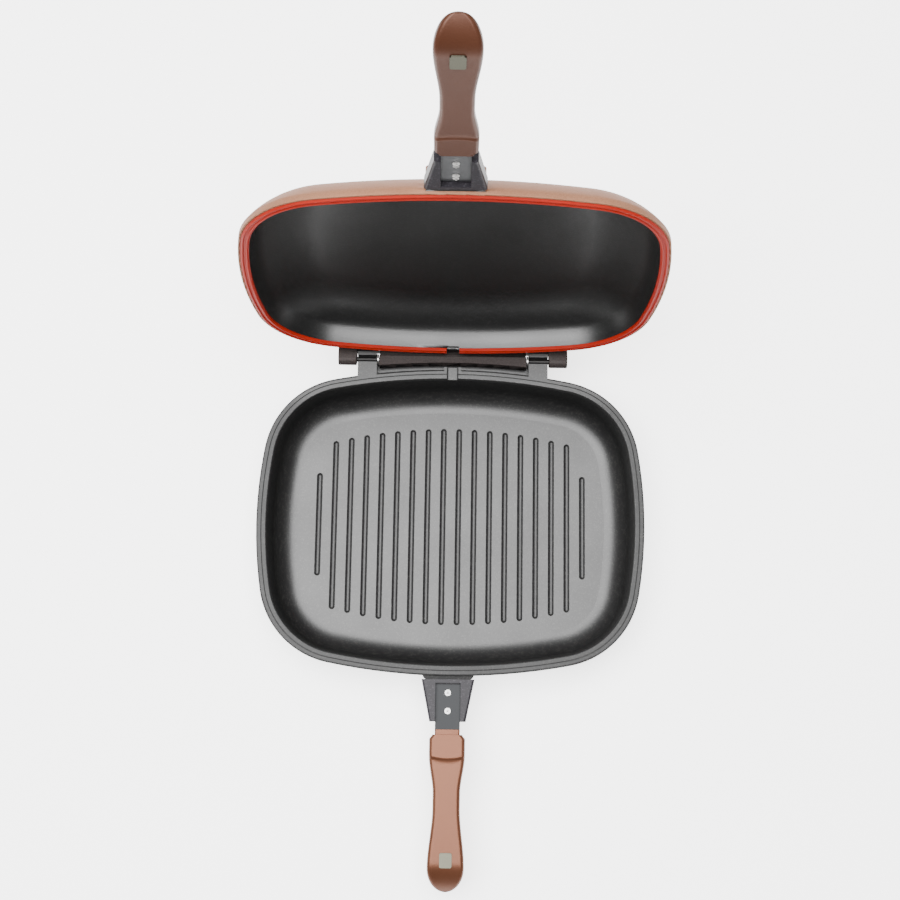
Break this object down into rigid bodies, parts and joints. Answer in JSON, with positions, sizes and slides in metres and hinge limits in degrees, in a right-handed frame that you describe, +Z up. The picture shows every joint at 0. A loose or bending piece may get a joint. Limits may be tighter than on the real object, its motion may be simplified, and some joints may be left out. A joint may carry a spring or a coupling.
{
  "type": "double sided flip pan",
  "caption": "Two hinged rectangular non-stick pans, the lower with fat channels, the upper with a silicone gasket, each with a long grip and a magnet catch; it shuts to be turned over.",
  "frame": {"origin": "centre of the lower pan's flat bottom", "axes": "+X to the right seen from the handles, +Y to the hinge, +Z up from the hob"},
  "size_m": [0.31, 0.5182, 0.4512],
  "materials": {
    "lower_pan": "die-cast with grey-black non-stick coating, satin",
    "upper_pan": "die-cast, bronze metallic outside, charcoal non-stick inside",
    "silicone": "red silicone, satin",
    "hinge_steel": "turned steel",
    "dark_steel": "dark coated steel",
    "bracket_enamel": "die-cast, charcoal coating",
    "strap_steel": "steel strip, dark coating",
    "screw_steel": "bright zinc plated steel",
    "grip_moulding": "brown heat-proof moulding, satin",
    "magnet_plate": "nickel plated"
  },
  "bodies": {
    "base": {"base_pan": "lower_pan", "base_bracket": "bracket_enamel", "base_strap": "strap_steel", "base_strap_screws": "screw_steel", "base_grip": "grip_moulding", "base_grip_screws": "screw_steel", "base_magnet": "magnet_plate"},
    "hinge_pins": {"hinge_pin_left": "hinge_steel", "hinge_pin_right": "hinge_steel", "hinge_washers": "hinge_steel"},
    "lid": {"lid_pan": "upper_pan", "lid_gasket": "silicone", "lid_bracket": "bracket_enamel", "lid_strap": "strap_steel", "lid_strap_screws": "screw_steel", "lid_grip": "grip_moulding", "lid_grip_screws": "screw_steel", "lid_magnet": "magnet_plate", "hinge_plugs": "dark_steel"}
  },
  "joints": [
    {"name": "lid_lift", "type": "slide", "parent": "base", "child": "hinge_pins", "axis": [0, 0.1891, 0.982], "range_m": [0, 0.018]},
    {"name": "lid_hinge", "type": "hinge", "parent": "hinge_pins", "child": "lid", "pos_m": [0, 0.1306, 0.0437], "axis": [1, 0, 0], "range_deg": [0, 100.9]}
  ]
}
